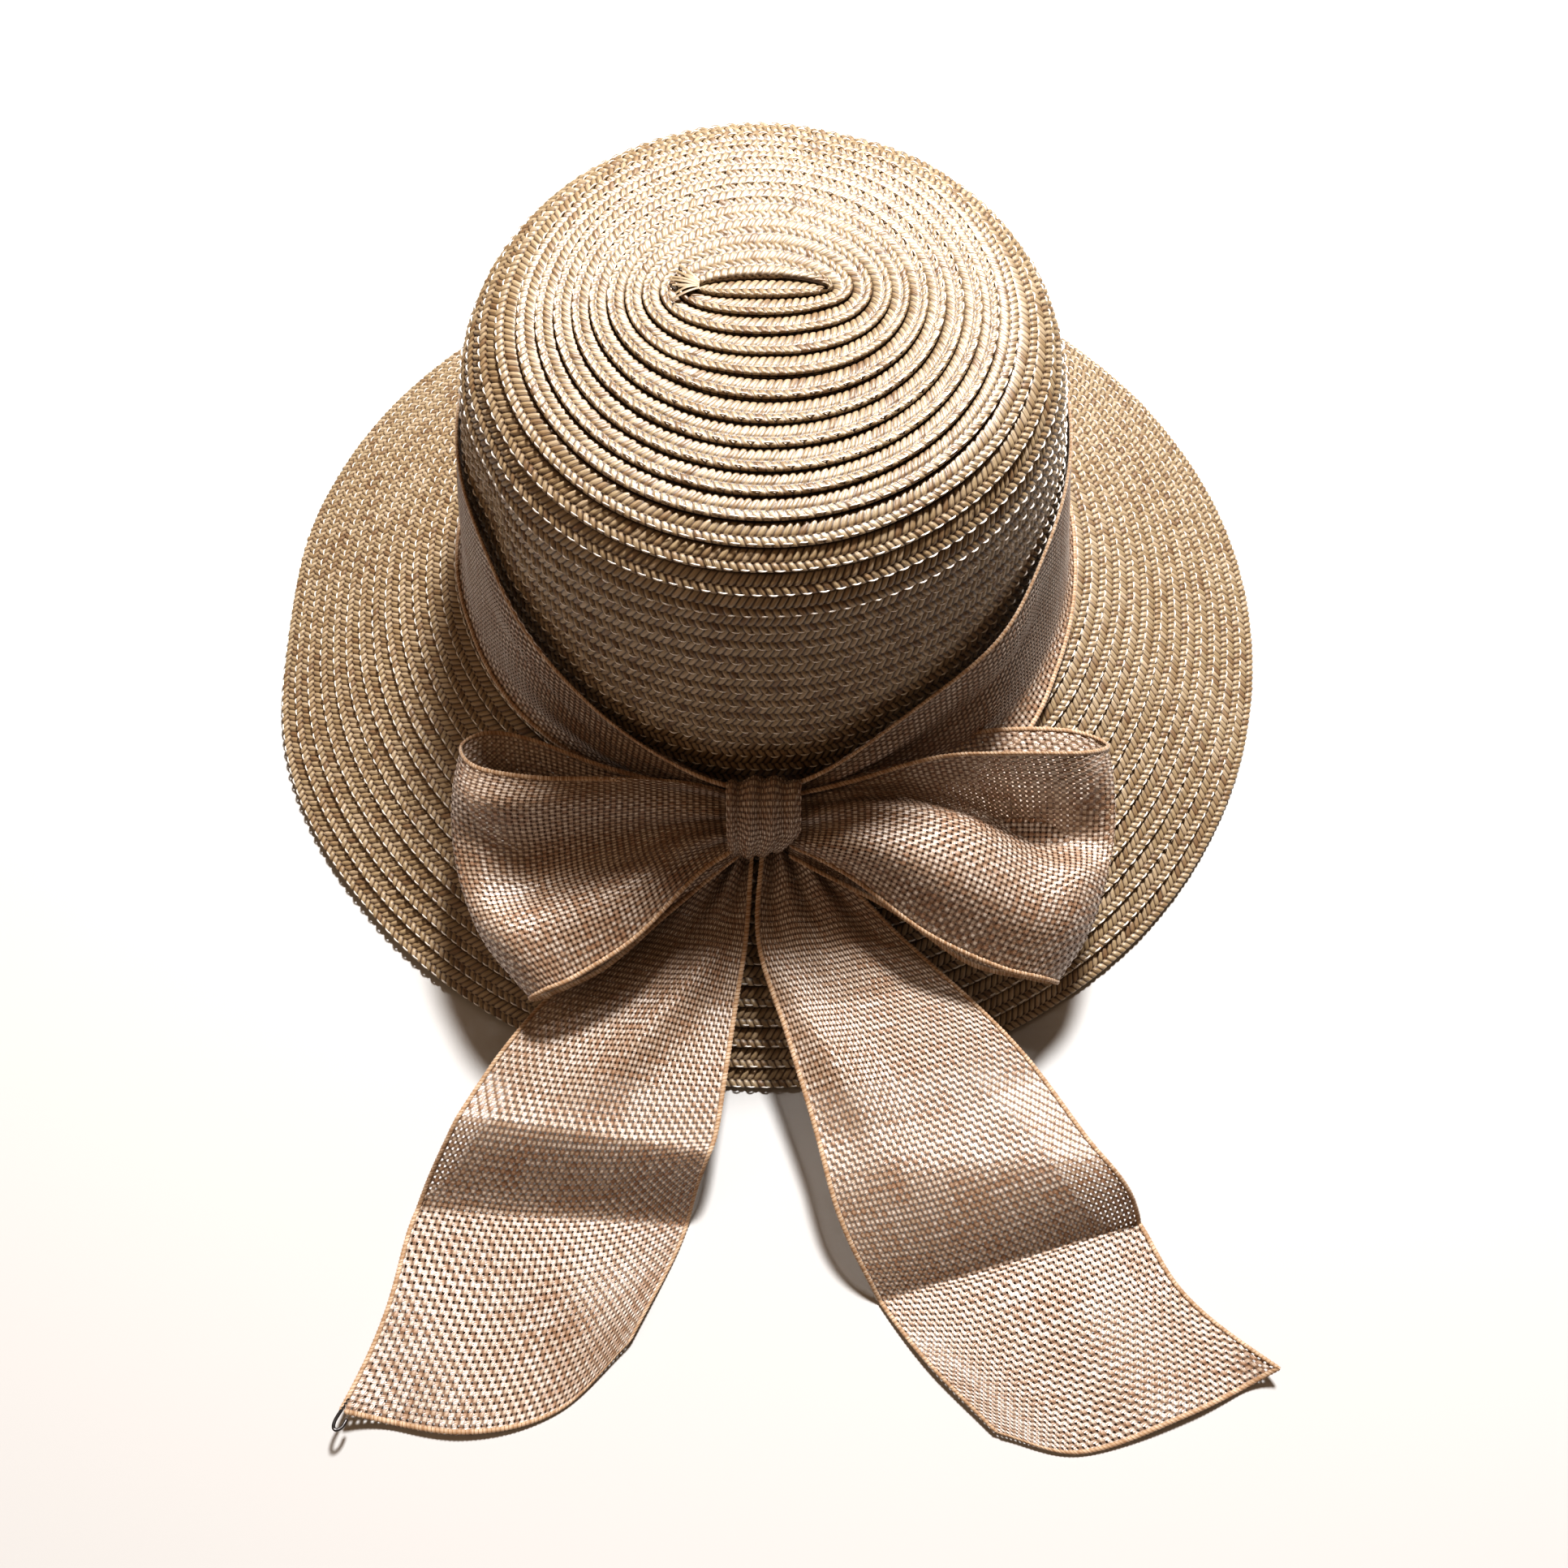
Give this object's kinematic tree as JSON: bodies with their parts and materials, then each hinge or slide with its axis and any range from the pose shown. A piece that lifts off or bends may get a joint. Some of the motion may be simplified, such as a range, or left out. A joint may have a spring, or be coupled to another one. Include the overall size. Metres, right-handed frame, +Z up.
{
  "type": "sun hat",
  "caption": "Sewn straw braid sun hat with a domed crown, a sloping round brim and a wide cloth ribbon tied in a bow with two long tails.",
  "frame": {"origin": "centre of the rim plane, on the crown's axis, where the wearer's head goes in", "axes": "+Z up through the crown, +Y away from the bow, +X to the right as seen from the bow's side"},
  "size_m": [0.3348, 0.4406, 0.1696],
  "materials": {
    "straw_braid": "flat herringbone braid of paper straw, sewn in a lapped spiral, dry and slightly silky",
    "ribbon_cloth": "open plain weave of thick slubby threads, dusty pink beige, matte",
    "ribbon_edging": "overlocked edge of pale golden thread round a thin wire",
    "sewing_thread": "fine pale glossy sewing thread",
    "sweatband_cloth": "ribbed cotton sweatband tape, matte",
    "edge_wire": "thin dark lacquered wire"
  },
  "bodies": {
    "hat": {"crown_start_strip": "straw_braid", "crown_start_rows": "straw_braid", "braid_start_end": "straw_braid", "crown_tip": "straw_braid", "crown_side": "straw_braid", "brim": "straw_braid", "brim_edge": "straw_braid", "ribbon_band": "ribbon_cloth", "bow_knot": "ribbon_cloth", "bow_loop_left": "ribbon_cloth", "bow_loop_right": "ribbon_cloth", "ribbon_band_edging": "ribbon_edging", "loop_left_edging": "ribbon_edging", "loop_right_edging": "ribbon_edging", "crown_stitching": "sewing_thread", "brim_stitching": "sewing_thread", "sweatband_stitching": "sewing_thread", "ribbon_tacks": "sewing_thread", "sweatband": "sweatband_cloth"},
    "tail_left": {"bow_tail_left": "ribbon_cloth", "tail_left_edging": "ribbon_edging", "tail_wire_end": "edge_wire"},
    "tail_right": {"bow_tail_right": "ribbon_cloth", "tail_right_edging": "ribbon_edging"}
  },
  "joints": [
    {"name": "tail_left_lift", "type": "hinge", "parent": "hat", "child": "tail_left", "pos_m": [0, -0.1116, 0.0455], "axis": [-1, 0, 0], "range_deg": [0, 15]},
    {"name": "tail_right_lift", "type": "hinge", "parent": "hat", "child": "tail_right", "pos_m": [0, -0.1116, 0.0455], "axis": [-1, 0, 0], "range_deg": [0, 25]}
  ]
}
